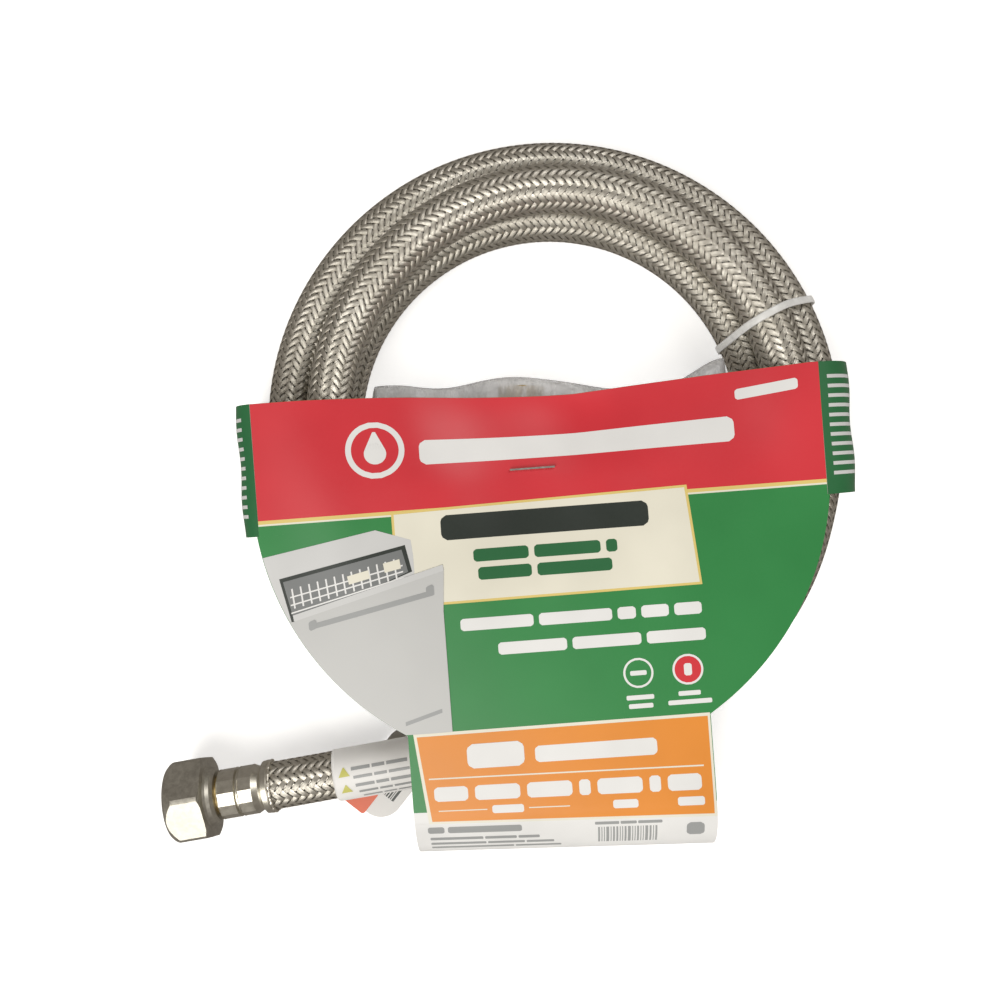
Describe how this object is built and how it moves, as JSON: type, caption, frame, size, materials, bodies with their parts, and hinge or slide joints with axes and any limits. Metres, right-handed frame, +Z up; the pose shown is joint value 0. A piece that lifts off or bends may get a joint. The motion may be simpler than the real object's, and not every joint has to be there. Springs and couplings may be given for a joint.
{
  "type": "braided supply line",
  "caption": "Coiled flexible water hose with woven metal braid, a swivel nut and crimped ferrule at each end, a tie, a folded card sleeve and a bag of threaded adapters.",
  "frame": {"origin": "middle of the whole pack's bounding box, on the surface it lies on", "axes": "+Z up from the surface; +X across the card's band; +Y from the card's fold to the open side of the coil"},
  "size_m": [0.2042, 0.2146, 0.0315],
  "materials": {
    "steel_braid": "woven from fine bright wires",
    "hose_liner": "matte",
    "plated_nut": "satin nickel plate",
    "brass_insert": "turned",
    "washer_rubber": "matte",
    "steel_ferrule": "pressed and crimped, satin",
    "tie_plastic": "smooth",
    "card_front": "coated and printed",
    "card_sides": "coated and printed",
    "card_fold": "coated",
    "card_back": "coated",
    "staple_wire": "bright wire",
    "bag_film": "thin clear film",
    "brass_fitting": "machined",
    "label_paper": "printed label",
    "tag_paper": "printed label",
    "lot_paper": "printed label"
  },
  "bodies": {
    "pack": {"hose_coil": "steel_braid", "inlet_tail_braid": "steel_braid", "outlet_tail_braid": "steel_braid", "inlet_tail_liner": "hose_liner", "outlet_tail_liner": "hose_liner", "inlet_nipple": "brass_insert", "outlet_nipple": "brass_insert", "inlet_washer": "washer_rubber", "outlet_washer": "washer_rubber", "inlet_ferrule": "steel_ferrule", "outlet_ferrule": "steel_ferrule", "coil_tie": "tie_plastic", "card_front": "card_front", "card_side_left": "card_sides", "card_side_right": "card_sides", "card_fold": "card_fold", "card_back": "card_back", "card_staple": "staple_wire", "fittings_bag": "bag_film", "adapter_small": "brass_fitting", "adapter_medium": "brass_fitting", "adapter_large": "brass_fitting", "elbow_fitting": "brass_fitting", "adapter_small_washer": "washer_rubber", "adapter_medium_washer": "washer_rubber", "adapter_large_washer": "washer_rubber", "wrap_label": "label_paper", "barcode_tag": "tag_paper", "lot_label": "lot_paper"},
    "inlet_nut": {"inlet_nut": "plated_nut"},
    "outlet_nut": {"outlet_nut": "plated_nut"}
  },
  "joints": [
    {"name": "inlet_nut_swivel", "type": "hinge", "parent": "pack", "child": "inlet_nut", "pos_m": [-0.10031, -0.09113, 0.01263], "axis": [0.9854, 0.1702, 0], "continuous": true},
    {"name": "outlet_nut_swivel", "type": "hinge", "parent": "pack", "child": "outlet_nut", "pos_m": [0.05284, -0.08753, 0.01318], "axis": [-0.9525, 0.2375, 0.1908], "continuous": true}
  ]
}
